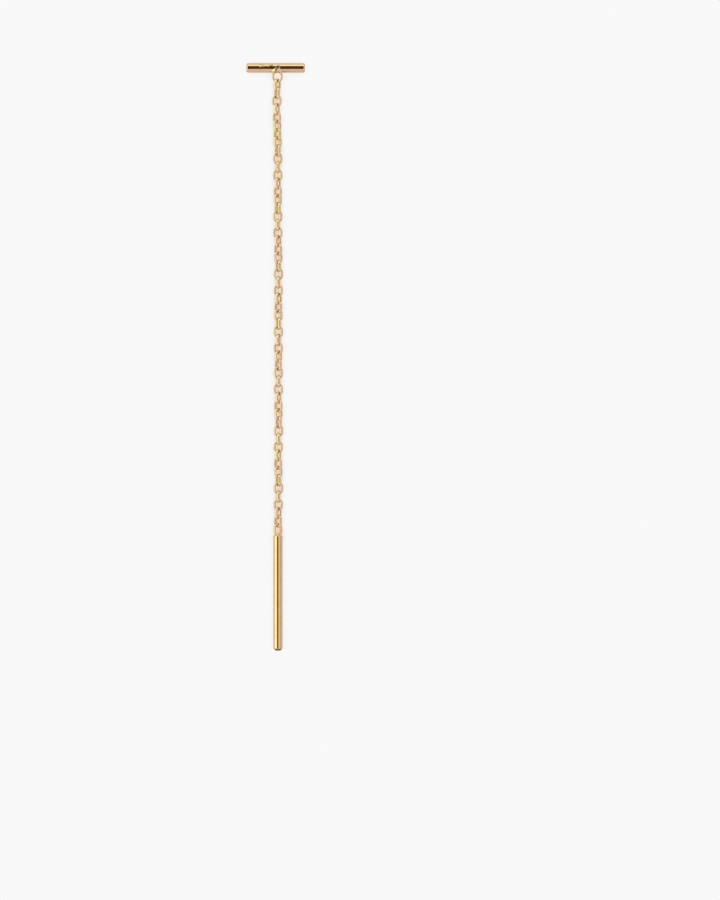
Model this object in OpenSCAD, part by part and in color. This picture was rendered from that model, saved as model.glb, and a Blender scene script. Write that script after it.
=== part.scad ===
// A threader earring lying flat: a short cross bar, a fine cable chain and a long thin rod.
// It lies along Y with the cross bar at the +Y end, and rests on the plane Z = 0.
// The origin is below the middle of its bounding box. Lengths are in millimetres.

/* [Cross bar] */
// Length of the cross bar
bar_l = 7.45; // [6:0.05:10]
// Thickness of the cross bar
bar_d = 1.2; // [1.2:0.05:1.4]
// Rounding of the cross bar's end edges
bar_edge = 0.15; // [0.05:0.01:0.3]

/* [Ring under the cross bar] */
// Outer width of the round ring
ring_w = 1.36; // [1.3:0.01:1.5]
// Thickness of the ring's wire
ring_wire = 0.26; // [0.22:0.01:0.3]
// Distance from the bar's middle line down to the ring's centre
ring_drop = 1.12; // [1:0.01:1.15]
// How far the ring sits to the right of the bar's middle
ring_x = 0.22; // [-0.5:0.01:0.5]
// How far the ring leans out of level, in degrees
ring_lean = 12; // [12:1:20]

/* [Chain] */
// Number of loose links
link_count = 54; // [10:1:80]
// Distance from one link to the next
link_pitch = 1.05; // [1.05:0.01:1.2]
// Outer width of a link
link_w = 1.19; // [1.17:0.01:1.19]
// Thickness of the link wire, as seen on a link that lies flat
link_wire = 0.25; // [0.24:0.01:0.25]
// Depth of the slightly flattened link wire, as seen on a link that stands on edge
link_depth = 0.35; // [0.26:0.01:0.35]
// Clear gap left between two hooked wires
link_gap = 0.19; // [0.19:0.01:0.2]
// Slow twist that each link adds to its quarter turn, in degrees
link_twist = 13.3; // [0:0.1:13.3]

/* [Rod] */
// Length of the rod that goes through the ear
rod_l = 14.8; // [8:0.1:25]
// Thickness of the rod
rod_d = 1.2; // [1.2:0.05:1.4]
// Rounding of the rod's free end
rod_nose = 0.28; // [0.1:0.01:0.4]
// Rounding of the rod's edge beside the solder
rod_edge = 0.12; // [0.05:0.01:0.3]

/* [Hidden] */
$fn = 64;
gold = [0.86, 0.66, 0.36];

// Both bars and the chain share one middle height above the surface they lie on
mid_z = max(bar_d, rod_d) / 2;

// Length of one link over its wire, long enough for its two neighbours and their gaps
link_l = link_pitch + link_gap + 2 * link_wire;

// The link that is soldered to the rod sinks into the rod's end by about half its wire
link_sink = 0.12;

// Where along the chain the slow twist is level, counted in links
level_link = 3.5;
// The links near both ends turn a little faster, the first to stand well across the ring
lead_links = 3;
tail_links = 2;
end_turn = 2.5;

// Places along Y, from the cross bar down to the rod's free end
ring_to_link = (ring_w - ring_wire) / 2 + (link_l - link_wire) / 2
    - (ring_wire + link_wire) / 2 - link_gap;
total_l = bar_d / 2 + ring_drop + ring_to_link + link_count * link_pitch
    + link_l / 2 - link_sink + rod_l;
bar_y = total_l / 2 - bar_d / 2;
ring_y = bar_y - ring_drop;
first_link_y = ring_y - ring_to_link;
end_link_y = first_link_y - link_count * link_pitch;
rod_top_y = end_link_y - link_l / 2 + link_sink;

// How the chain wanders sideways as it lies: share of its length, and place along X
SHARE = 0;
PLACE = 1;
wander = [
    [0.00, 0.21],
    [0.06, 0.13],
    [0.15, 0.27],
    [0.33, 0.27],
    [0.41, 0.34],
    [0.72, 0.34],
    [0.78, 0.38],
    [0.85, 0.30],
    [0.91, 0.36],
    [1.00, 0.29]
];
rod_x = wander[len(wander) - 1][PLACE];

// Place of the joint between link i - 1 and link i
function joint_x(i) = lookup(i / link_count, [for (row = wander) [row[SHARE], row[PLACE]]]);
// Turn of link i about the chain's own line, with 0 lying flat. The last is soldered to the rod
function link_turn(i) = -(90 * i + link_twist * (i - level_link)
    + end_turn * (max(0, i + tail_links - link_count) - max(0, lead_links - i)));

// Solder around the cross bar: a low collar that bulges to the front and towards the ring
collar_r = bar_d / 2 + 0.08;
collar_curve = 0.9;
collar_rise = 0.1;
collar_down = 0.08;
collar_half = 0.5;
// Solder on the rod's end: a bead that stands this far out of the end
bead_r = rod_d / 3;
bead_out = 0.15;

module round_bar(length, thick, edge_a, edge_b) {
    // A bar along Z from 0 to length, its two end edges rounded
    rad = thick / 2;
    rotate_extrude() {
        translate([0, edge_a]) square([rad, length - edge_a - edge_b]);
        square([rad - edge_a, edge_a]);
        translate([0, length - edge_b]) square([rad - edge_b, edge_b]);
        intersection() {
            translate([rad - edge_a, 0]) square(edge_a);
            translate([rad - edge_a, edge_a]) circle(r = edge_a);
        }
        intersection() {
            translate([rad - edge_b, length - edge_b]) square(edge_b);
            translate([rad - edge_b, length - edge_b]) circle(r = edge_b);
        }
    }
}

module round_ring(width, wire) {
    rotate_extrude() translate([(width - wire) / 2, 0]) circle(d = wire);
}

module wire_section(wire, depth) {
    // A slightly flattened wire: two rounds with a flat between them
    flat = depth - wire;
    square([wire, flat], center = true);
    for (side = [-1, 1]) translate([0, side * flat / 2]) circle(d = wire);
}

module oval_link(width, length, wire, depth) {
    // A flat oval of wire, its long way along Y: two half bends and two straight sides
    bend_r = (width - wire) / 2;
    side_l = length - width;
    for (half = [0, 180])
        rotate([0, 0, half]) {
            translate([0, side_l / 2, 0])
                rotate_extrude(angle = 180) translate([bend_r, 0]) wire_section(wire, depth);
            translate([bend_r, 0, 0])
                rotate([90, 0, 0]) linear_extrude(side_l, center = true) wire_section(wire, depth);
        }
}

module solder_collar() {
    // A low barrel along Z, made by turning a shallow arc about the bar's line
    rotate_extrude()
        intersection() {
            translate([collar_r - collar_curve, 0]) circle(r = collar_curve);
            translate([0, -collar_half]) square([collar_r, 2 * collar_half]);
        }
}

module top_bar() {
    color(gold) {
        translate([-bar_l / 2, bar_y, mid_z])
            rotate([0, 90, 0]) round_bar(bar_l, bar_d, bar_edge, bar_edge);
        translate([ring_x, bar_y - collar_down, mid_z + collar_rise])
            rotate([0, 90, 0]) solder_collar();
        translate([ring_x, ring_y, mid_z]) rotate([0, -ring_lean, 0]) round_ring(ring_w, ring_wire);
    }
}

module chain() {
    color(gold)
        for (i = [0 : link_count - 1]) {
            step_x = joint_x(i + 1) - joint_x(i);
            yaw = atan2(step_x, link_pitch);
            translate([(joint_x(i) + joint_x(i + 1)) / 2, first_link_y - i * link_pitch, mid_z])
                rotate([0, 0, yaw]) rotate([0, link_turn(i), 0])
                    oval_link(link_w, link_l, link_wire, link_depth);
        }
}

module drop_rod() {
    color(gold) {
        translate([rod_x, rod_top_y, mid_z])
            rotate([90, 0, 0]) round_bar(rod_l, rod_d, rod_edge, rod_nose);
        translate([rod_x, rod_top_y - bead_r + bead_out, mid_z]) sphere(r = bead_r);
        translate([rod_x, end_link_y, mid_z])
            rotate([0, link_turn(link_count), 0]) oval_link(link_w, link_l, link_wire, link_depth);
    }
}

top_bar();
chain();
drop_rod();
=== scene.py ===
import math

import bmesh
import bpy
import numpy as np
from bpy.props import FloatProperty, FloatVectorProperty, IntProperty, PointerProperty
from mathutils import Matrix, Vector


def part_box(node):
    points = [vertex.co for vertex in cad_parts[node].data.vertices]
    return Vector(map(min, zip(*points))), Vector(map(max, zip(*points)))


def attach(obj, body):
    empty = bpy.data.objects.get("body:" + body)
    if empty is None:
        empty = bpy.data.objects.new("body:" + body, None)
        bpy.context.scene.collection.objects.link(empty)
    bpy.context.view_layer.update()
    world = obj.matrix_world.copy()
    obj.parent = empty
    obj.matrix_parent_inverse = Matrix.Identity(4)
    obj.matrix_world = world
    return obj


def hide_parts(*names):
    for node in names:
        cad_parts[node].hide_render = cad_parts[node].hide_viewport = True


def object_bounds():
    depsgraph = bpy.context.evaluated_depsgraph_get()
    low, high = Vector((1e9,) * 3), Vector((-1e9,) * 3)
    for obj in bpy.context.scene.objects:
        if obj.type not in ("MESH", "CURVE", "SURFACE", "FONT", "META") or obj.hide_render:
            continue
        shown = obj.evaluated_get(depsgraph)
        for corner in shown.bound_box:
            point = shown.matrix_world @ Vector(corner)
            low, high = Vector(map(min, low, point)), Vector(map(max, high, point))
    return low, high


bl_info = {
    "name": "Threader Earring",
    "version": (1, 0, 0),
    "blender": (4, 5, 0),
    "location": "View3D > Sidebar > Threader",
    "description": "Builds a polished gold threader earring: cross bar, cable chain and rod",
    "category": "Add Mesh",
}

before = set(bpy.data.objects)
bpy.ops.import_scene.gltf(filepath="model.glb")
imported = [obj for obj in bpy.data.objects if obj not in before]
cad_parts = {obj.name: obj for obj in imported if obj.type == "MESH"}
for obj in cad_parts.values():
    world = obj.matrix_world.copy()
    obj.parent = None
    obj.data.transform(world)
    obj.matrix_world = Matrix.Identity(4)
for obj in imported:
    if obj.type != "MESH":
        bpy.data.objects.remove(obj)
CAD_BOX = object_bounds()

# The frame is in metres. Shapes here are worked out in millimetres, and scaled as they become
# meshes.
MM = 0.001


def box_mm(node):
    """Lowest and highest corner of a solid of the frame, in millimetres."""
    low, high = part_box(node)
    return np.array(low) / MM, np.array(high) / MM


BAR_LOW, BAR_HIGH = box_mm("top_bar")
CHAIN_LOW, CHAIN_HIGH = box_mm("chain")
ROD_LOW, ROD_HIGH = box_mm("drop_rod")
# The cross bar is as thick as the rod's solid is high, and all pieces share one middle height.
BAR_THICK = ROD_HIGH[2] - ROD_LOW[2]
MID_Z = BAR_THICK / 2
ROD_X = (ROD_LOW[0] + ROD_HIGH[0]) / 2

# How the chain wanders sideways as it lies: share of its length from the top, and place along X
WANDER = (
    (0.00, 0.21),
    (0.06, 0.13),
    (0.15, 0.27),
    (0.33, 0.27),
    (0.41, 0.34),
    (0.72, 0.34),
    (0.78, 0.38),
    (0.85, 0.30),
    (0.91, 0.36),
    (1.00, 0.29),
)

# The solid chain's links are this long, so that they stay clear of each other. The links here are
# shorter, hook closely, and lie this much further down at the ring and at the rod. The first link
# hangs a little lower still, so that it clears the second, from which it is turned far.
SOLID_LINK_L = 1.74
TOP_DROP = 0.15
END_DROP = 0.11
FIRST_SAG = 0.055
# The ring reaches this much further down than the solid's
RING_DROP = 0.08

# Which link would lie level if the slow twist were even, and where the chain is turned on from
# that: share of its length from the top, and degrees
LEVEL_LINK = 3.5
TURNED_ON = (
    (0.00, -10),
    (0.02, 9),
    (0.07, 31),
    (0.09, 26),
    (0.13, 3),
    (0.20, -1),
    (0.55, 2),
    (0.70, 11),
    (1.00, 14),
)

# The photograph's frame in pixels, and where the earring lies in it
PHOTO_W, PHOTO_H = 720, 900
PHOTO_TOP, PHOTO_BOTTOM = 63.2, 650.8
PHOTO_BAR_X = 275.65


def length(name, words, default):
    """A size in metres from a value in millimetres."""
    return FloatProperty(name=name, description=words, default=default * MM, min=0.0,
                         unit="LENGTH", precision=5)


def share(name, words, default, top=1.0):
    """A plain number from 0 to top."""
    return FloatProperty(name=name, description=words, default=default, min=0.0, max=top,
                         subtype="FACTOR")


def turn(name, words, degrees):
    """An angle from a value in degrees."""
    return FloatProperty(name=name, description=words, default=math.radians(degrees),
                         subtype="ANGLE")


def colour(name, words, default):
    return FloatVectorProperty(name=name, description=words, default=default, size=3,
                               min=0.0, max=2.0, subtype="COLOR")


class EarringSizes(bpy.types.PropertyGroup):
    """Sizes of the pieces"""
    bar_thick: length("Bar thickness", "Thickness of the cross bar", BAR_THICK)
    bar_chamfer: length("Bar chamfer", "Chamfer at the cross bar's ends", 0.13)
    ring_w: length("Ring width", "Outer width of the ring under the cross bar", 1.36)
    ring_l: length("Ring length", "Outer length of the ring, with what the solder covers", 1.53)
    ring_wire: length("Ring wire", "Thickness of the ring's wire", 0.25)
    ring_x: length("Ring place", "How far the ring sits to the right of the middle", 0.22)
    ring_lean: turn("Ring lean", "How far the ring leans out of level", 12.0)
    link_count: IntProperty(name="Links", description="Number of loose links", default=54, min=2)
    link_w: length("Link width", "Outer width of a link", 1.19)
    link_l: length("Link length", "Outer length of a link", 1.61)
    link_wire: length("Link wire", "Thickness of the slightly flattened link wire", 0.25)
    link_depth: length("Link depth", "How deep the link wire is, square to the link", 0.37)
    link_twist: turn("Slow twist", "What each link adds to its quarter turn", 13.3)
    link_scatter: turn("Scatter", "How far a link may turn from its place by chance", 1.0)
    seam_swell: share("Seam swell", "How much thicker a link's wire is at its seam", 0.06)
    rod_thick: length("Rod thickness", "Thickness of the rod", 1.16)
    rod_l: length("Rod length", "Length of the rod that goes through the ear", 14.72)
    nose_long: length("Nose length", "Length of the chamfer at the rod's free end", 0.31)
    nose_deep: length("Nose depth", "Depth of the chamfer at the rod's free end", 0.30)
    melt_step: length("Melt step", "Mesh step of the soldered joints", 0.028)


class GoldFinish(bpy.types.PropertyGroup):
    """Colours and polish of the gold"""
    gold: colour("Gold", "Colour of the polished gold", (1.0, 0.72, 0.37))
    gold_deep: colour("Deep gold", "Colour in the duller patches", (0.96, 0.68, 0.33))
    solder: colour("Solder", "Colour of the soldered joints", (0.98, 0.75, 0.40))
    # Painted shade: a dark colour put in three places. On the rod's nose it stands for the shaded
    # floor that the nose reflects. It also goes in two gaps of the solder, and inside the links'
    # bends where they hook. The next setting is how strongly the bends get it.
    brown: colour("Brown", "Colour of the rod's nose, the solder's pits and the links' bends",
                  (0.12, 0.048, 0.008))
    residue: share("Residue", "How strongly the links' bends are browned", 0.45)
    bar_rough: share("Bar roughness", "Roughness of the polished bars", 0.07)
    chain_rosy: colour("Rosy chain gold", "Rosier colour on some of the links", (1.0, 0.735, 0.50))
    chain_gold: colour("Chain gold", "Yellower colour of the other links", (0.96, 0.79, 0.385))
    chain_rough: share("Chain roughness", "Roughness of the links", 0.26)
    solder_rough: share("Solder roughness", "Roughness added on the solder", 0.28)


class StudioSettings(bpy.types.PropertyGroup):
    """Floor, light and camera"""
    camera_high: FloatProperty(name="Camera height", default=0.6, unit="LENGTH",
                               description="Height of the camera over the earring's middle")
    floor_bounce: share("Floor bounce", "Share of the light that the floor gives back", 0.87)
    floor_seen: share("Floor shading", "Share of the light in the floor as it is seen", 0.04)
    floor_glow: share("Floor glow", "Even light of the floor as it is seen", 0.915)
    # Painted shade: the floor's glow turns this warm colour where things come near, for their
    # shadow and the light the gold throws on it
    nook_shade: colour("Nook tint", "Colour of the floor's glow in the holes of the links",
                 (0.82, 0.46, 0.22))
    nook_reach: length("Nook reach", "How near a thing has to be to shade the floor's glow", 1.1)
    side_light: colour("Side light", "Large soft light on the left", (1.14, 1.27, 1.20))
    far_light: colour("Far light", "Soft light beyond the cross bar", (0.97, 1.02, 1.30))
    right_light: colour("Right wall", "Pale wall on the right", (0.73, 0.72, 0.74))
    near_light: colour("Near wall", "Pale wall on the near side", (0.66, 0.60, 0.74))
    corner_light: share("Corner light", "How much brighter the corners of the room are", 1.25, 3.0)
    warm_edge: colour("Warm edge", "Warm light around the dark things", (1.0, 0.78, 0.48))
    shade: colour("Shade", "Dark things overhead", (0.065, 0.033, 0.009))


def new_piece(name, mesh):
    obj = bpy.data.objects.new(name, mesh)
    bpy.context.scene.collection.objects.link(obj)
    return obj


def finish_piece(obj, node, material):
    """The piece takes the node's place on the frame."""
    if material.name not in obj.data.materials:
        obj.data.materials.append(material)
    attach(obj, "root")
    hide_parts(node)


# Shapes as distance fields: each takes points in millimetres and gives how far outside they are

def smooth_join(a, b, blend):
    """Both shapes together, run into each other over a width of blend."""
    h = np.maximum(blend - np.abs(a - b), 0) / blend
    return np.minimum(a, b) - h * h * blend / 4


def smooth_meet(a, b, blend):
    """What two shapes have in common, its edge eased over a width of blend."""
    return -smooth_join(-a, -b, blend)


def bar_field(along, out, half, rad, chamfers, blend=0.03):
    """A round bar with a chamfer of given length and depth at each end, its edges eased. along and
    out are how far the points lie from its middle and from its axis."""
    d = out - rad
    for side, (long, deep) in zip((-1, 1), chamfers):
        end = side * along - half
        slope = (deep * end + long * (out - (rad - deep))) / math.hypot(long, deep)
        d = smooth_meet(smooth_meet(d, slope, blend), end, blend)
    return d


def oval_field(p, centre, width, long, wire, depth, turned):
    """A link or ring of wire that may be deeper than wide, its long way along Y, turned about Y."""
    q = p - np.array(centre)
    c, s = math.cos(turned), math.sin(turned)
    across = q[..., 0] * c - q[..., 2] * s
    deep = (q[..., 0] * s + q[..., 2] * c) * wire / depth
    along = np.maximum(np.abs(q[..., 1]) - (long - width) / 2, 0)
    return np.hypot(np.hypot(across, along) - (width - wire) / 2, deep) - wire / 2


def ball_field(p, centre, rad):
    return np.linalg.norm(p - np.array(centre), axis=-1) - rad


def stick_field(p, start, end, rad):
    """A straight stick with round ends."""
    a, b = np.array(start, float), np.array(end, float)
    t = np.clip(((p - a) @ (b - a)) / ((b - a) @ (b - a)), 0, 1)
    return np.linalg.norm(p - a - t[..., None] * (b - a), axis=-1) - rad


def gradient(field, p, step=0.002):
    g = np.empty_like(p)
    for axis in range(3):
        shift = np.zeros(3)
        shift[axis] = step
        g[:, axis] = (field(p + shift) - field(p - shift)) / (2 * step)
    return g


def settle(field, p, rounds=4):
    """Moves points onto the field's surface."""
    for _ in range(rounds):
        g = gradient(field, p)
        p = p - (field(p) / np.maximum((g * g).sum(1), 1e-6))[:, None] * g
    return p


def skin(field, low, high, step):
    """Points and four-sided faces on the field's surface inside a box, open where the box cuts
    it."""
    counts = [int(round((b - a) / step)) for a, b in zip(low, high)]
    axes = [a + step * np.arange(n + 1) for a, n in zip(low, counts)]
    inside = field(np.stack(np.meshgrid(*axes, indexing="ij"), -1)) < 0
    corners = sum(
        inside[dx:dx + counts[0], dy:dy + counts[1], dz:dz + counts[2]].astype(int)
        for dx in (0, 1) for dy in (0, 1) for dz in (0, 1))
    active = (corners > 0) & (corners < 8)
    number = np.full(active.shape, -1)
    number[active] = np.arange(active.sum())
    points = np.array(low) + (np.argwhere(active) + 0.5) * step
    faces = []
    for axis in range(3):
        u, v = (axis + 1) % 3, (axis + 2) % 3
        before = np.take(inside, range(counts[axis]), axis)
        after = np.take(inside, range(1, counts[axis] + 1), axis)
        for sign, change in ((1, before & ~after), (-1, ~before & after)):
            spots = np.argwhere(change)
            ok = ((spots[:, u] > 0) & (spots[:, u] < counts[u])
                  & (spots[:, v] > 0) & (spots[:, v] < counts[v]))
            spots = spots[ok]
            ring = []
            for du, dv in ((-1, -1), (0, -1), (0, 0), (-1, 0))[::sign]:
                cell = spots.copy()
                cell[:, u] += du
                cell[:, v] += dv
                ring.append(number[tuple(cell.T)])
            faces.append(np.stack(ring, 1))
    return points, np.concatenate(faces)


def relax(field, points, faces, held_axis, rounds=6):
    """Evens out the mesh while it stays on the surface. The open rims keep their place along
    held_axis."""
    edges = np.concatenate([faces[:, [k, (k + 1) % 4]] for k in range(4)])
    edges.sort(axis=1)
    edges, uses = np.unique(edges, axis=0, return_counts=True)
    rim = np.unique(edges[uses == 1])
    rim_place = points[rim, held_axis].copy()
    degree = np.bincount(edges.ravel(), minlength=len(points))[:, None]
    for _ in range(rounds):
        total = np.zeros_like(points)
        np.add.at(total, edges[:, 0], points[edges[:, 1]])
        np.add.at(total, edges[:, 1], points[edges[:, 0]])
        points = settle(field, 0.5 * points + 0.5 * total / degree, 2)
        points[rim, held_axis] = rim_place
        points = settle(field, points, 1)
    return points


def draw_out(bm, rim, axis, centre, profile):
    """Carries an open rim of a bar on to its end, ring by ring, and closes it with a fan.
    profile lists the place along the axis and the radius of each ring."""
    others = [k for k in range(3) if k != axis]
    for place, rad in profile:
        made = bmesh.ops.extrude_edge_only(bm, edges=rim)["geom"]
        verts = [v for v in made if isinstance(v, bmesh.types.BMVert)]
        rim = [e for e in made if isinstance(e, bmesh.types.BMEdge)]
        for v in verts:
            out = [v.co[k] - centre[k] for k in others]
            size = math.hypot(*out)
            v.co[axis] = place
            for k, o in zip(others, out):
                v.co[k] = centre[k] + o * rad / size
    bmesh.ops.pointmerge(bm, verts=verts, merge_co=Vector(
        [profile[-1][0] if k == axis else centre[k] for k in range(3)]))


def bar_profile(start, end, rad, chamfer, wide=0.3, before=0.05):
    """Rings from start to the bar's end: along the bar about wide apart, until a little before its
    chamfer, then down the chamfer and in over the flat end."""
    long, deep = chamfer
    way = 1 if end > start else -1
    edge = end - way * long
    rings = [(start + t * (edge - way * before - start), rad)
             for t in np.linspace(0, 1, max(2, int(abs(edge - start) / wide)))[1:]]
    rings += [(edge + way * t * long, rad - t * deep) for t in (0.0, 0.1, 0.3, 0.5, 0.7, 0.9, 1.0)]
    rings += [(end, (rad - deep) * t) for t in (0.94, 0.7, 0.35, 0.08)]
    return rings


def fused_mesh(name, field, box, step, axis, centre, profiles, marks):
    """One closed mesh of a bar and what is soldered to it. The box, given by its lowest and highest
    corner, is meshed finely, and the bar's open rims are carried on to its ends by the profiles,
    lowest end first. marks gives the values of the attributes that the material reads."""
    low, high = box
    points, faces = skin(field, low, high, step)
    points = relax(field, settle(field, points), faces, axis)
    bm = bmesh.new()
    verts = [bm.verts.new(p) for p in points]
    for f in faces:
        bm.faces.new([verts[k] for k in f])
    rims = [e for e in bm.edges if e.is_boundary]
    middle = (low[axis] + high[axis]) / 2
    for way, profile in profiles:
        rim = [e for e in rims if (e.verts[0].co[axis] - middle) * way > 0]
        draw_out(bm, rim, axis, centre, profile)
    bmesh.ops.recalc_face_normals(bm, faces=bm.faces)
    if any(e.is_boundary for e in bm.edges):
        raise RuntimeError(name + " has an open edge")
    mesh = bpy.data.meshes.new(name)
    bm.to_mesh(mesh)
    bm.free()
    p = np.empty(len(mesh.vertices) * 3)
    mesh.vertices.foreach_get("co", p)
    p = settle(field, p.reshape(-1, 3))
    normals = gradient(field, p)
    normals /= np.linalg.norm(normals, axis=1)[:, None]
    for label, values in marks(p).items():
        mark = mesh.attributes.new(label, "FLOAT", "POINT")
        mark.data.foreach_set("value", values.astype(np.float32))
    mesh.vertices.foreach_set("co", (p * MM).ravel())
    mesh.polygons.foreach_set("use_smooth", [True] * len(mesh.polygons))
    mesh.normals_split_custom_set_from_vertices(normals)
    mesh.update()
    return mesh


def near(distance, reach):
    """1 where a distance is none, fading to 0 at reach."""
    t = np.clip(1 - distance / reach, 0, 1)
    return t * t * (3 - 2 * t)


def cross_bar_mesh(s):
    """The cross bar, the ring under its middle, and the solder that runs over the bar's front."""
    rad, wire = s.bar_thick / MM / 2, s.ring_wire / MM
    ring_w, ring_l, ring_x = s.ring_w / MM, s.ring_l / MM, s.ring_x / MM
    bar_y = BAR_HIGH[1] - rad
    ring_y = BAR_LOW[1] - RING_DROP + ring_l / 2
    half = (BAR_HIGH[0] - BAR_LOW[0]) / 2
    chamfer = (s.bar_chamfer / MM,) * 2
    centre = np.array([0.0, bar_y, MID_Z])
    # Solder, as sticks from the bar's axis over the ring: a high pool whose ridge runs slantwise
    # over the bar and ends short of the ring's hole, a lobe down to each side of the ring, a curl
    # that has run off to the left, a bump, and three specks that have splashed further along
    pool = ((-0.19, -0.45, 0.10), (0.08, -0.04, 0.02), 0.58)
    pool_foot = -0.52
    lobes = (
        ((-0.42, -0.30, 0.34), (-0.50, -0.74, 0.04), 0.16),
        ((0.26, -0.34, 0.30), (0.46, -0.72, 0.04), 0.15),
        ((-0.84, 0.30, 0.47), (-0.60, 0.37, 0.42), 0.09),
        ((0.06, 0.30, 0.47), (0.14, 0.28, 0.48), 0.10),
        ((-1.12, 0.22, 0.53), (-1.06, 0.24, 0.52), 0.07),
        ((-1.86, 0.22, 0.53), (-1.80, 0.21, 0.53), 0.08),
        ((-2.14, 0.18, 0.54), (-2.10, 0.20, 0.54), 0.08),
    )
    # Two spots of painted shade on the solder, where gaps beside the ring lie in shade: their
    # places, their size, and how far the marks fade
    shade_spots = ((-0.21, -0.40, 0.56), (0.05, 0.05, 0.62))
    shade_spot_rad, mark_fade = 0.05, 0.12
    # How widely one shape runs into the next
    foot_blend, lobe_blend, bar_blend, ring_blend = 0.12, 0.14, 0.09, 0.07
    # How far the fine mesh reaches: left and right of the ring, and past the bar
    left, right, below, beyond, over = 2.4, 1.0, 0.2, 0.1, 0.4

    def solder(p):
        q = p - (centre + np.array([ring_x, 0, 0]))
        d = smooth_meet(stick_field(q, *pool), pool_foot - q[..., 1], foot_blend)
        for lobe in lobes:
            d = smooth_join(d, stick_field(q, *lobe), lobe_blend)
        return d

    def field(p):
        out = np.hypot(p[..., 1] - bar_y, p[..., 2] - MID_Z)
        d = bar_field(p[..., 0], out, half, rad, (chamfer, chamfer))
        d = smooth_join(d, solder(p), bar_blend)
        ring = oval_field(p, (ring_x, ring_y, MID_Z), ring_w, ring_l, wire, wire, -s.ring_lean)
        return smooth_join(d, ring, ring_blend)

    def marks(p):
        q = p - (centre + np.array([ring_x, 0, 0]))
        # The solder, and the two spots of painted shade
        shade_spot = np.minimum(*(ball_field(q, place, shade_spot_rad) for place in shade_spots))
        return {"solder": near(solder(p), mark_fade), "brown": near(shade_spot, mark_fade)}

    low = (ring_x - left, BAR_LOW[1] - below, MID_Z - rad - beyond)
    high = (ring_x + right, BAR_HIGH[1] + beyond, MID_Z + rad + over)
    profiles = [(side, bar_profile(start, side * half, rad, chamfer))
                for side, start in ((-1, low[0]), (1, high[0]))]
    return fused_mesh("top_bar_gold", field, (low, high), s.melt_step / MM, 0, centre, profiles,
                      marks)


def link_turn(s, i):
    """Turn of link i about the chain's own line, with 0 lying flat."""
    shares, degrees = zip(*TURNED_ON)
    return -(math.pi / 2 * i + s.link_twist * (i - LEVEL_LINK)
             + math.radians(np.interp(i / s.link_count, shares, degrees)))


def drop_rod_mesh(s):
    """The rod, the link soldered to its upper end and the bead of solder between them."""
    rad, wire, depth = s.rod_thick / MM / 2, s.link_wire / MM, s.link_depth / MM
    link_w, link_l = s.link_w / MM, s.link_l / MM
    turned = link_turn(s, s.link_count)
    long = s.rod_l / MM
    top_y = ROD_LOW[1] + long
    middle_y = ROD_LOW[1] + long / 2
    link_y = ROD_HIGH[1] - SOLID_LINK_L / 2 - END_DROP
    nose = (s.nose_long / MM, s.nose_deep / MM)
    shoulder = (0.12, 0.12)
    centre = np.array([ROD_X, top_y, MID_Z])
    # The bead: a ball in the rod's end, and a small one that has run up on the left. Its surface
    # looks like solder as far down as its skirt.
    ball, run = ((0, -0.25, 0), 0.40), ((-0.10, 0.02, 0.10), 0.19)
    skirt, solder_fade = 0.13, 0.10
    # Painted shade: a dark band round the nose, standing in for the shaded floor that its chamfer
    # reflects; its middle from the rod's end, and how far it fades
    nose_shade_band, nose_shade_fade = 0.17, 0.18
    # How widely one shape runs into the next, and how far the fine mesh reaches
    run_blend, rod_blend, link_blend = 0.1, 0.05, 0.06
    below, beyond = 0.5, 0.1

    def bead(p):
        q = p - centre
        return smooth_join(ball_field(q, *ball), ball_field(q, *run), run_blend)

    def field(p):
        out = np.hypot(p[..., 0] - ROD_X, p[..., 2] - MID_Z)
        d = bar_field(p[..., 1] - middle_y, out, long / 2, rad, (nose, shoulder))
        d = smooth_join(d, bead(p), rod_blend)
        link = oval_field(p, (ROD_X, link_y, MID_Z), link_w, link_l, wire, depth, turned)
        return smooth_join(d, link, link_blend)

    def marks(p):
        return {"solder": near(bead(p), solder_fade) * (p[:, 1] > top_y - skirt),
                "brown": near(np.abs(p[:, 1] - ROD_LOW[1] - nose_shade_band), nose_shade_fade)}

    low = (ROD_X - rad - beyond, top_y - below, MID_Z - rad - beyond)
    high = (ROD_X + rad + beyond, ROD_HIGH[1] + beyond, MID_Z + rad + beyond)
    profiles = [(-1, bar_profile(low[1], ROD_LOW[1], rad, nose))]
    return fused_mesh("drop_rod_gold", field, (low, high), s.melt_step / MM, 1, centre, profiles,
                      marks)


def chain_path(s):
    """A line of edges from joint to joint down the chain, one for each link, with its turn."""
    first = (CHAIN_HIGH[1] - SOLID_LINK_L / 2 - TOP_DROP) * MM
    last = (CHAIN_LOW[1] + SOLID_LINK_L / 2 - END_DROP) * MM
    pitch = (first - last) / (s.link_count - 1)
    shares, places = zip(*WANDER)
    verts = []
    for i in range(s.link_count + 1):
        x = np.interp(i / s.link_count, shares, places) * MM
        y = first + pitch * (0.5 - i)
        if i == 0:
            # A link lies at the middle of its edge, which moves half as far as the edge's end
            y -= 2 * FIRST_SAG * MM
        verts.append((x, y, MID_Z * MM))
    mesh = bpy.data.meshes.new("chain_path")
    mesh.from_pydata(verts, [(i, i + 1) for i in range(s.link_count)], [])
    turns = mesh.attributes.new("turn", "FLOAT", "EDGE")
    turns.data.foreach_set("value", [link_turn(s, i) for i in range(s.link_count)])
    return mesh


def node(tree, kind, values=None, **settings):
    """A new node with its settings, and with numbers or links for its inputs by name or place."""
    made = tree.nodes.new(kind)
    for key, value in settings.items():
        setattr(made, key, value)
    for key, value in (values or {}).items():
        if isinstance(value, bpy.types.NodeSocket):
            tree.links.new(value, made.inputs[key])
        else:
            made.inputs[key].default_value = value
    return made


def maths(tree, operation, a, b=0.0, c=0.0):
    return node(tree, "ShaderNodeMath", {0: a, 1: b, 2: c}, operation=operation).outputs[0]


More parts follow.
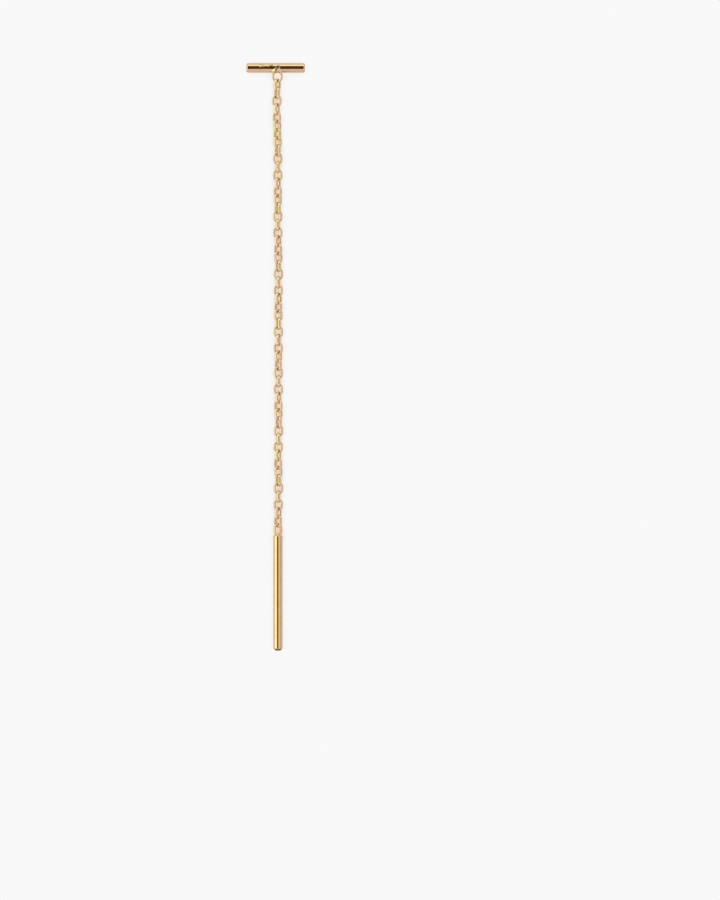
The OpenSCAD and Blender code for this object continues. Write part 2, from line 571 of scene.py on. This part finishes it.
def link_chain_tree(round_steps=48, wire_steps=18, seam_half=0.03):
    """Geometry nodes that put a wire link on each edge of a path, turned as the edge says. A link
    has round_steps steps round its line and wire_steps round its wire, and its seam reaches to both
    sides for seam_half of the way round."""
    tree = bpy.data.node_groups.new("cable_chain", "GeometryNodeTree")
    face = tree.interface
    face.new_socket("Path", in_out="INPUT", socket_type="NodeSocketGeometry")
    for name in ("Link width", "Link length", "Wire thickness", "Wire depth", "Scatter",
                 "Seam swell", "Residue"):
        face.new_socket(name, in_out="INPUT", socket_type="NodeSocketFloat")
    face.new_socket("Seed", in_out="INPUT", socket_type="NodeSocketInt")
    face.new_socket("Gold", in_out="INPUT", socket_type="NodeSocketMaterial")
    face.new_socket("Chain", in_out="OUTPUT", socket_type="NodeSocketGeometry")
    given = tree.nodes.new("NodeGroupInput").outputs
    # One link: a circle drawn out to an oval, with a wire swept round it
    bend = maths(tree, "DIVIDE", maths(
        tree, "SUBTRACT", given["Link width"], given["Wire thickness"]), 2.0)
    side = maths(tree, "DIVIDE", maths(
        tree, "SUBTRACT", given["Link length"], given["Link width"]), 2.0)
    round_line = node(tree, "GeometryNodeCurvePrimitiveCircle", {
        "Resolution": round_steps, "Radius": bend})
    place = node(tree, "ShaderNodeSeparateXYZ", {
        0: node(tree, "GeometryNodeInputPosition").outputs[0]}).outputs
    far = node(tree, "ShaderNodeClamp", {
        "Value": maths(tree, "MULTIPLY", place["Y"], 1e5), "Min": -1.0, "Max": 1.0}).outputs[0]
    shift = node(tree, "ShaderNodeCombineXYZ", {"Y": maths(tree, "MULTIPLY", far, side)})
    oval = node(tree, "GeometryNodeSetPosition", {
        "Geometry": round_line.outputs["Curve"], "Offset": shift.outputs[0]})
    # The wire is a little thicker at the seam in one of its straight sides
    away = maths(tree, "ABSOLUTE", maths(tree, "SUBTRACT", node(
        tree, "GeometryNodeSplineParameter").outputs["Factor"], 0.5))
    seam = ramp(tree, away, 0.0, seam_half, 1.0, 0.0)
    swell = maths(tree, "ADD", 1.0, maths(tree, "MULTIPLY", seam, given["Seam swell"]))
    # The wire's section: a circle stretched to the wire's depth
    circle = node(tree, "GeometryNodeCurvePrimitiveCircle", {
        "Resolution": wire_steps, "Radius": maths(tree, "DIVIDE", given["Wire thickness"], 2.0)})
    stretch = node(tree, "ShaderNodeCombineXYZ", {
        "X": 1.0, "Z": 1.0,
        "Y": maths(tree, "DIVIDE", given["Wire depth"], given["Wire thickness"])})
    wire = node(tree, "GeometryNodeTransform", {
        "Geometry": circle.outputs["Curve"], "Scale": stretch.outputs[0]})
    upright = node(tree, "GeometryNodeSetCurveNormal", {
        "Curve": oval.outputs["Geometry"]}, mode="Z_UP")
    swept = node(tree, "GeometryNodeCurveToMesh", {
        "Curve": upright.outputs["Curve"], "Profile Curve": wire.outputs["Geometry"],
        "Scale": swell})
    # Painted shade inside each bend, where the next link hooks and the wires shade each other
    past = maths(tree, "MAXIMUM", maths(
        tree, "SUBTRACT", maths(tree, "ABSOLUTE", place["Y"]), side))
    out = maths(tree, "SQRT", maths(
        tree, "MULTIPLY_ADD", place["X"], place["X"], maths(tree, "MULTIPLY", past, past)))
    inner = maths(tree, "DIVIDE", maths(tree, "SUBTRACT", bend, out), given["Wire thickness"])
    round_the_bend = maths(tree, "DIVIDE", past, bend)
    brown = maths(tree, "MULTIPLY", maths(
        tree, "MULTIPLY", ramp(tree, inner, -0.25, 0.5), ramp(tree, round_the_bend, 0.0, 0.9)),
        given["Residue"])
    link = node(tree, "GeometryNodeStoreNamedAttribute", {
        "Geometry": swept.outputs[0], "Name": "brown", "Value": brown},
        data_type="FLOAT", domain="POINT")
    # The links along the path
    ends = node(tree, "GeometryNodeInputMeshEdgeVertices")
    along = node(tree, "ShaderNodeVectorMath", {
        0: ends.outputs["Position 1"], 1: ends.outputs["Position 2"]}, operation="SUBTRACT")
    kept = tree.nodes.new("GeometryNodeCaptureAttribute")
    kept.domain = "EDGE"
    kept.capture_items.new("VECTOR", "Along")
    kept.capture_items.new("FLOAT", "Turn")
    turn_of = node(tree, "GeometryNodeInputNamedAttribute", {"Name": "turn"}, data_type="FLOAT")
    tree.links.new(given["Path"], kept.inputs["Geometry"])
    tree.links.new(along.outputs[0], kept.inputs["Along"])
    tree.links.new(turn_of.outputs["Attribute"], kept.inputs["Turn"])
    spots = node(tree, "GeometryNodeMeshToPoints", {"Mesh": kept.outputs["Geometry"]}, mode="EDGES")
    index = node(tree, "GeometryNodeInputIndex").outputs[0]
    loose = node(tree, "FunctionNodeRandomValue", {
        "ID": index, "Seed": given["Seed"]}, data_type="FLOAT")
    tree.links.new(maths(tree, "MULTIPLY", given["Scatter"], -1.0), loose.inputs[2])
    tree.links.new(given["Scatter"], loose.inputs[3])
    whole = maths(tree, "ADD", kept.outputs["Turn"], loose.outputs[1])
    laid = node(tree, "FunctionNodeAlignRotationToVector", {
        "Vector": kept.outputs["Along"]}, axis="Y")
    spin = node(tree, "FunctionNodeAxisAngleToRotation", {"Axis": (0.0, 1.0, 0.0), "Angle": whole})
    turned = node(tree, "FunctionNodeRotateRotation", {
        "Rotation": laid.outputs[0], "Rotate By": spin.outputs[0]}, rotation_space="LOCAL")
    links = node(tree, "GeometryNodeInstanceOnPoints", {
        "Points": spots.outputs[0], "Instance": link.outputs[0], "Rotation": turned.outputs[0]})
    real = node(tree, "GeometryNodeRealizeInstances", {"Geometry": links.outputs[0]})
    smooth = node(tree, "GeometryNodeSetShadeSmooth", {"Geometry": real.outputs[0]})
    gilt = node(tree, "GeometryNodeSetMaterial", {
        "Geometry": smooth.outputs[0], "Material": given["Gold"]})
    node(tree, "NodeGroupOutput", {"Chain": gilt.outputs[0]})
    return tree


def run_tree(obj, tree, values):
    """Runs a geometry node tree on obj, and gives the result as a plain mesh."""
    modifier = obj.modifiers.new(tree.name, "NODES")
    modifier.node_group = tree
    sockets = {s.name: s.identifier for s in tree.interface.items_tree if s.in_out == "INPUT"}
    for name, value in values.items():
        modifier[sockets[name]] = value
    obj.update_tag()
    made = obj.evaluated_get(bpy.context.evaluated_depsgraph_get())
    mesh = bpy.data.meshes.new_from_object(made)
    obj.modifiers.remove(modifier)
    return mesh


# Marks on the gold: how fine they are, in waves to the metre
HAZE, WAVES, TINT = 900.0, 420.0, 780.0
RIPPLES, PIN_HOLES, DULL_SPOTS = 5200.0, 9000.0, 2600.0
LINES_ALONG, LINES_ACROSS, LINES_EVEN = 2500.0, 26000.0, 9000.0
# How high they stand, in metres
WAVE_HIGH, LINE_HIGH, RIPPLE_HIGH = 0.00001, 0.0000012, 0.00001
# How much the haze roughens the gold
HAZE_ROUGH = 0.06


def shader_group(name, inputs, outputs):
    """A shader node group, with what its inputs give and what its outputs take."""
    group = bpy.data.node_groups.new(name, "ShaderNodeTree")
    for kind, label, default in inputs:
        socket = group.interface.new_socket(label, in_out="INPUT", socket_type="NodeSocket" + kind)
        if default is not None:
            socket.default_value = default
    for kind, label in outputs:
        group.interface.new_socket(label, in_out="OUTPUT", socket_type="NodeSocket" + kind)
    given = group.nodes.new("NodeGroupInput").outputs
    return group, given, group.nodes.new("NodeGroupOutput").inputs


def noise(tree, where, scale, detail=2.0, rough=0.5):
    return node(tree, "ShaderNodeTexNoise", {
        "Vector": where, "Scale": scale, "Detail": detail, "Roughness": rough}).outputs[0]


def ramp(tree, value, low, high, to_low=0.0, to_high=1.0):
    """A smooth step from to_low at low to to_high at high."""
    return node(tree, "ShaderNodeMapRange", {
        "Value": value, "From Min": low, "From Max": high, "To Min": to_low, "To Max": to_high},
        interpolation_type="SMOOTHSTEP").outputs[0]


def polish_group():
    """Marks that polishing leaves: fine lines along the work, a faint haze, slow waves, and a drift
    from one tone of the gold to another."""
    tree, given, out = shader_group(
        "polish_marks",
        [("Vector", "Place", None), ("Vector", "Drawn place", None)],
        [("Float", "Lines"), ("Float", "Haze"), ("Float", "Waves"), ("Float", "Tint")])
    lines = noise(tree, given["Drawn place"], 1.0, 3.0, 0.6)
    strong = ramp(tree, noise(tree, given["Drawn place"], 0.23, 1.0), 0.58, 0.70)
    tree.links.new(maths(tree, "ADD", lines, strong), out["Lines"])
    haze = ramp(tree, noise(tree, given["Place"], HAZE, 4.0, 0.6), 0.42, 0.72)
    tree.links.new(haze, out["Haze"])
    tree.links.new(noise(tree, given["Place"], WAVES, 1.0), out["Waves"])
    tree.links.new(ramp(tree, noise(tree, given["Place"], TINT, 1.0), 0.38, 0.62), out["Tint"])
    return tree


def solder_group():
    """Frozen solder: small ripples and pin holes, only where the mask is."""
    tree, given, out = shader_group(
        "solder_skin",
        [("Vector", "Place", None), ("Float", "Mask", 0.0)],
        [("Float", "Ripple"), ("Float", "Dull")])
    ripple = noise(tree, given["Place"], RIPPLES, 2.0)
    holes = ramp(tree, noise(tree, given["Place"], PIN_HOLES, 1.0), 0.66, 0.74)
    rough = maths(tree, "SUBTRACT", ripple, holes)
    tree.links.new(maths(tree, "MULTIPLY", rough, given["Mask"]), out["Ripple"])
    dull = ramp(tree, noise(tree, given["Place"], DULL_SPOTS, 3.0), 0.30, 0.75, 0.45, 1.0)
    tree.links.new(maths(tree, "MULTIPLY", dull, given["Mask"]), out["Dull"])
    return tree


def shared(tree, name, maker, values):
    """The outputs of a shared group's node, the group made the first time it is asked for."""
    made = node(tree, "ShaderNodeGroup", node_tree=bpy.data.node_groups.get(name) or maker())
    for label, value in values.items():
        tree.links.new(value, made.inputs[label])
    return made.outputs


def mix_colour(tree, factor, a, b):
    made = tree.nodes.new("ShaderNodeMix")
    made.data_type = "RGBA"
    sockets = made.inputs["Factor"], made.inputs[6], made.inputs[7]
    for socket, value in zip(sockets, (factor, a, b)):
        if isinstance(value, bpy.types.NodeSocket):
            tree.links.new(value, socket)
        else:
            socket.default_value = value
    return made.outputs[2]


def polished_gold(name, finish, tones, rough, drawn):
    """Polished gold in two tones. drawn is how tightly the polishing lines lie along X, Y and Z."""
    material = bpy.data.materials.new(name)
    material.use_nodes = True
    tree = material.node_tree
    tree.nodes.clear()
    place = node(tree, "ShaderNodeTexCoord").outputs["Object"]
    along = node(tree, "ShaderNodeMapping", {"Vector": place, "Scale": drawn}).outputs[0]
    mask = node(tree, "ShaderNodeAttribute", attribute_name="solder").outputs["Fac"]
    polish = shared(tree, "polish_marks", polish_group, {"Place": place, "Drawn place": along})
    joint = shared(tree, "solder_skin", solder_group, {"Place": place, "Mask": mask})
    tone = mix_colour(tree, polish["Tint"], *((*tone, 1) for tone in tones))
    tone = mix_colour(tree, mask, tone, (*finish.solder, 1))
    # Painted shade from the attribute: the rod's nose, the solder's gaps and the links' bends turn
    # dark
    brown = node(tree, "ShaderNodeAttribute", attribute_name="brown").outputs["Fac"]
    tone = mix_colour(tree, brown, tone, (*finish.brown, 1))
    dull = maths(tree, "ADD", maths(tree, "MULTIPLY", polish["Haze"], HAZE_ROUGH),
                 maths(tree, "MULTIPLY", joint["Dull"], finish.solder_rough))
    roughness = maths(tree, "ADD", dull, rough)
    waves = node(tree, "ShaderNodeBump", {
        "Height": polish["Waves"], "Strength": 0.5, "Distance": WAVE_HIGH}).outputs[0]
    lines = node(tree, "ShaderNodeBump", {
        "Height": polish["Lines"], "Strength": 0.4, "Distance": LINE_HIGH,
        "Normal": waves}).outputs[0]
    ripple = node(tree, "ShaderNodeBump", {
        "Height": joint["Ripple"], "Strength": 0.5, "Distance": RIPPLE_HIGH,
        "Normal": lines}).outputs[0]
    shader = node(tree, "ShaderNodeBsdfPrincipled", {
        "Base Color": tone, "Metallic": 1.0, "Roughness": roughness, "Normal": ripple})
    node(tree, "ShaderNodeOutputMaterial", {"Surface": shader.outputs[0]})
    return material


def floor_material(studio):
    """A pale surface. As the camera sees it, it is lit more evenly than it lights the earring, with
    painted shade near things.
    """
    material = bpy.data.materials.new("pale_surface")
    material.use_nodes = True
    tree = material.node_tree
    tree.nodes.clear()
    bounce = node(tree, "ShaderNodeBsdfDiffuse", {"Color": (studio.floor_bounce,) * 3 + (1,)})
    seen = node(tree, "ShaderNodeBsdfDiffuse", {"Color": (studio.floor_seen,) * 3 + (1,)})
    open_sky = node(tree, "ShaderNodeAmbientOcclusion", {
        "Distance": studio.nook_reach}, samples=6).outputs["AO"]
    place = node(tree, "ShaderNodeTexCoord").outputs["Object"]
    along = node(tree, "ShaderNodeSeparateXYZ", {0: place}).outputs["Y"]
    # The painted warm shade, for shadow and the gold's bounce light, is strongest beside the chain,
    # and fades out a little past its ends
    low, high = (CHAIN_LOW[1] - 2) * MM, (CHAIN_HIGH[1] + 0.3) * MM
    elsewhere = 0.3
    beside_chain = maths(tree, "MINIMUM", ramp(tree, along, low, low + MM),
                         ramp(tree, along, high, high - MM))
    shade = maths(tree, "SUBTRACT", 1.0, ramp(tree, open_sky, 0.25, 0.80))
    warm_shade = maths(tree, "MULTIPLY", shade, maths(
        tree, "MULTIPLY_ADD", beside_chain, 1.0 - elsewhere, c=elsewhere))
    tint = mix_colour(tree, warm_shade, (1.0, 1.0, 1.0, 1), (*studio.nook_shade, 1))
    glow = node(tree, "ShaderNodeEmission", {"Color": tint, "Strength": studio.floor_glow})
    both = node(tree, "ShaderNodeAddShader", {0: seen.outputs[0], 1: glow.outputs[0]})
    camera_ray = node(tree, "ShaderNodeLightPath").outputs["Is Camera Ray"]
    mixed = node(tree, "ShaderNodeMixShader", {
        0: camera_ray, 1: bounce.outputs[0], 2: both.outputs[0]})
    node(tree, "ShaderNodeOutputMaterial", {"Surface": mixed.outputs[0]})
    return material


# What lies around the earring on each side, as (degrees from straight up, setting, share of it).
# Dark things hang overhead, further out towards the left and beyond the cross bar.
ROOM = {
    "left": ((0, "shade", 1), (20, "shade", 1), (26, "warm_edge", 0.9), (32, "side_light", 1),
             (75, "side_light", 1), (90, "side_light", 0.75)),
    "right": ((0, "shade", 1), (1, "shade", 1), (8, "warm_edge", 0.62), (22, "right_light", 0.66),
              (31, "right_light", 1), (57, "right_light", 1), (65, "right_light", 0.65),
              (90, "right_light", 0.6)),
    "far": ((0, "shade", 1), (39, "shade", 1), (47, "far_light", 1), (55, "far_light", 1.1),
            (68, "far_light", 1.15), (74, "far_light", 1), (82, "far_light", 0.68)),
    "near": ((0, "shade", 1), (27, "shade", 1), (33, "near_light", 0.85), (42, "near_light", 0.95),
             (50, "near_light", 1.15), (68, "near_light", 1.15), (80, "near_light", 0.95),
             (89, "near_light", 0.8)),
}


def room_light(studio):
    """The light of the room, as seen from the earring: a large soft light on the left, a softer one
    beyond the cross bar, pale walls on the right and on the near side, and dark things overhead.
    Each side runs into the next, and the corners between them are brighter."""
    world = bpy.data.worlds.new("soft_room")
    bpy.context.scene.world = world
    world.use_nodes = True
    tree = world.node_tree
    tree.nodes.clear()
    way = node(tree, "ShaderNodeSeparateXYZ", {
        0: node(tree, "ShaderNodeTexCoord").outputs["Generated"]}).outputs
    tilt = maths(tree, "DIVIDE", maths(tree, "ARCCOSINE", way["Z"]), math.pi)
    sides = {}
    for side, stops in ROOM.items():
        made = node(tree, "ShaderNodeValToRGB", {"Fac": tilt})
        made.color_ramp.interpolation = "EASE"
        stones = made.color_ramp.elements
        while len(stones) < len(stops):
            stones.new(1.0)
        for stone, (degrees, setting, part) in zip(stones, stops):
            stone.position = degrees / 180
            stone.color = [part * v for v in getattr(studio, setting)] + [1]
        sides[side] = made.outputs["Color"]
    reach = maths(tree, "ADD", maths(tree, "SQRT", maths(tree, "ADD", maths(
        tree, "MULTIPLY", way["X"], way["X"]), maths(tree, "MULTIPLY", way["Y"], way["Y"]))), 1e-4)
    across, far = (maths(tree, "DIVIDE", way[k], reach) for k in "XY")
    join = 0.3
    beside = mix_colour(tree, ramp(tree, across, -join, join), sides["left"], sides["right"])
    before = mix_colour(tree, ramp(tree, far, -join, join), sides["near"], sides["far"])
    turned = maths(tree, "SUBTRACT", maths(tree, "ABSOLUTE", far), maths(tree, "ABSOLUTE", across))
    whole = mix_colour(tree, ramp(tree, turned, -join, join), beside, before)
    corner = ramp(tree, maths(tree, "ABSOLUTE", turned), 0.2, 0.7, studio.corner_light, 1.0)
    back = node(tree, "ShaderNodeBackground", {"Color": whole, "Strength": corner})
    node(tree, "ShaderNodeOutputWorld", {"Surface": back.outputs[0]})


def lay_floor(studio):
    """A pale floor that reaches far past the view on every side."""
    half = 6.0
    mesh = bpy.data.meshes.new("pale_floor")
    mesh.from_pydata([(-half, -half, 0), (half, -half, 0), (half, half, 0), (-half, half, 0)],
                     [], [(0, 1, 2, 3)])
    mesh.materials.append(floor_material(studio))
    new_piece("pale_floor", mesh)


def hang_camera(studio):
    """The camera looks straight down, with the earring where the photograph has it."""
    low, high = CAD_BOX
    pixel = (high.y - low.y) / (PHOTO_BOTTOM - PHOTO_TOP)
    camera = bpy.data.cameras.new("camera")
    camera.lens = camera.sensor_width * studio.camera_high / (PHOTO_H * pixel)
    camera.clip_start = studio.camera_high / 100
    obj = bpy.data.objects.new("camera", camera)
    obj.location = (
        (PHOTO_W / 2 - PHOTO_BAR_X) * pixel,
        high.y - (PHOTO_H / 2 - PHOTO_TOP) * pixel,
        studio.camera_high + MID_Z * MM)
    bpy.context.scene.collection.objects.link(obj)
    bpy.context.scene.camera = obj


class ThreaderOperator:
    bl_options = {"REGISTER", "UNDO"}


class THREADER_OT_studio(ThreaderOperator, bpy.types.Operator):
    """Lay the pale floor, light the room and hang the camera over it"""
    bl_idname = "threader.studio"
    bl_label = "Studio"

    def execute(self, context):
        studio = context.scene.threader_studio
        context.scene.view_settings.view_transform = "Standard"
        lay_floor(studio)
        room_light(studio)
        hang_camera(studio)
        return {"FINISHED"}


class THREADER_OT_cross_bar(ThreaderOperator, bpy.types.Operator):
    """Build the cross bar with its ring and solder"""
    bl_idname = "threader.cross_bar"
    bl_label = "Cross bar"

    def execute(self, context):
        finish = context.scene.threader_finish
        piece = new_piece("top_bar_gold", cross_bar_mesh(context.scene.threader_sizes))
        gold = polished_gold("cross_bar_gold", finish, (finish.gold, finish.gold_deep),
                             finish.bar_rough, (LINES_ALONG, LINES_ACROSS, LINES_ACROSS))
        finish_piece(piece, "top_bar", gold)
        return {"FINISHED"}


class THREADER_OT_chain(ThreaderOperator, bpy.types.Operator):
    """Build the cable chain along its path"""
    bl_idname = "threader.chain"
    bl_label = "Chain"

    def execute(self, context):
        s, finish = context.scene.threader_sizes, context.scene.threader_finish
        gold = polished_gold("chain_gold", finish, (finish.chain_gold, finish.chain_rosy),
                             finish.chain_rough, (LINES_EVEN,) * 3)
        path = new_piece("chain_path", chain_path(s))
        mesh = run_tree(path, link_chain_tree(), {
            "Link width": s.link_w, "Link length": s.link_l, "Wire thickness": s.link_wire,
            "Wire depth": s.link_depth, "Scatter": s.link_scatter, "Seam swell": s.seam_swell,
            "Residue": finish.residue, "Seed": 7, "Gold": gold})
        bpy.data.objects.remove(path)
        mesh.name = "chain_gold"
        if len(mesh.polygons) == 0:
            raise RuntimeError("the chain has no links")
        finish_piece(new_piece("chain_gold", mesh), "chain", gold)
        return {"FINISHED"}


class THREADER_OT_drop_rod(ThreaderOperator, bpy.types.Operator):
    """Build the rod with its soldered end link"""
    bl_idname = "threader.drop_rod"
    bl_label = "Rod"

    def execute(self, context):
        finish = context.scene.threader_finish
        piece = new_piece("drop_rod_gold", drop_rod_mesh(context.scene.threader_sizes))
        gold = polished_gold("rod_gold", finish, (finish.gold, finish.gold_deep),
                             finish.bar_rough, (LINES_ACROSS, LINES_ALONG, LINES_ACROSS))
        finish_piece(piece, "drop_rod", gold)
        return {"FINISHED"}


OPERATORS = (THREADER_OT_studio, THREADER_OT_cross_bar, THREADER_OT_chain, THREADER_OT_drop_rod)


class THREADER_PT_panel(bpy.types.Panel):
    """Lists the steps that build the earring"""
    bl_idname = "THREADER_PT_panel"
    bl_label = "Threader Earring"
    bl_space_type = "VIEW_3D"
    bl_region_type = "UI"
    bl_category = "Threader"

    def draw(self, context):
        for operator in OPERATORS:
            self.layout.operator(operator.bl_idname)
        for group in ("threader_sizes", "threader_finish", "threader_studio"):
            settings = getattr(context.scene, group)
            box = self.layout.box()
            for name in settings.__annotations__:
                box.prop(settings, name)


CLASSES = (EarringSizes, GoldFinish, StudioSettings, *OPERATORS, THREADER_PT_panel)


def register():
    for cls in CLASSES:
        bpy.utils.register_class(cls)
    bpy.types.Scene.threader_sizes = PointerProperty(type=EarringSizes)
    bpy.types.Scene.threader_finish = PointerProperty(type=GoldFinish)
    bpy.types.Scene.threader_studio = PointerProperty(type=StudioSettings)


def unregister():
    for group in ("threader_sizes", "threader_finish", "threader_studio"):
        delattr(bpy.types.Scene, group)
    for cls in reversed(CLASSES):
        bpy.utils.unregister_class(cls)


def main():
    register()
    bpy.ops.threader.studio()
    bpy.ops.threader.cross_bar()
    bpy.ops.threader.chain()
    bpy.ops.threader.drop_rod()


if __name__ == "__main__":
    main()
